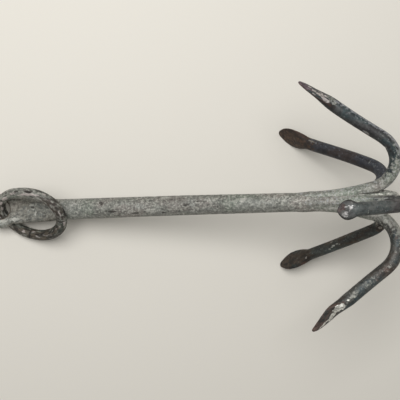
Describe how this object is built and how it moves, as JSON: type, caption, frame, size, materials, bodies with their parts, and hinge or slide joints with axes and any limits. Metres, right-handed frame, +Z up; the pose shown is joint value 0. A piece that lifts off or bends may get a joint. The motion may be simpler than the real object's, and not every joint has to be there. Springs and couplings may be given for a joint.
{
  "type": "grapnel anchor",
  "caption": "Hand-forged grapnel anchor: flattened pierced eye, round shank, back-bent tines with flat spade tips, and a loose ring. Lies as it comes to rest.",
  "frame": {"origin": "middle of the anchor's footprint, on the surface it lies on", "axes": "+X along the shank from the eye to the crown, +Z up, +Y to the shank's left"},
  "size_m": [0.5524, 0.3037, 0.2528],
  "materials": {
    "weathered_zinc": "hot-dip zinc on forged iron, weathered to a mottled light grey",
    "dark_patina": "forged bar darkened to slate and black-green, brown rust on the spades",
    "crusted_zinc": "pitted and crusted zinc with dark gouges"
  },
  "bodies": {
    "anchor": {"shank": "weathered_zinc", "tine_top": "dark_patina", "tine_left_upper": "dark_patina", "tine_left_lower": "dark_patina", "tine_right_lower": "dark_patina", "tine_right_upper": "dark_patina"},
    "ring": {"ring": "crusted_zinc"}
  },
  "joints": [
    {"name": "ring_swing", "type": "hinge", "parent": "anchor", "child": "ring", "pos_m": [-0.2522, 0.0057, 0.019], "axis": [-0.235, 0.1392, 0.962], "range_deg": [-315, 0]}
  ]
}
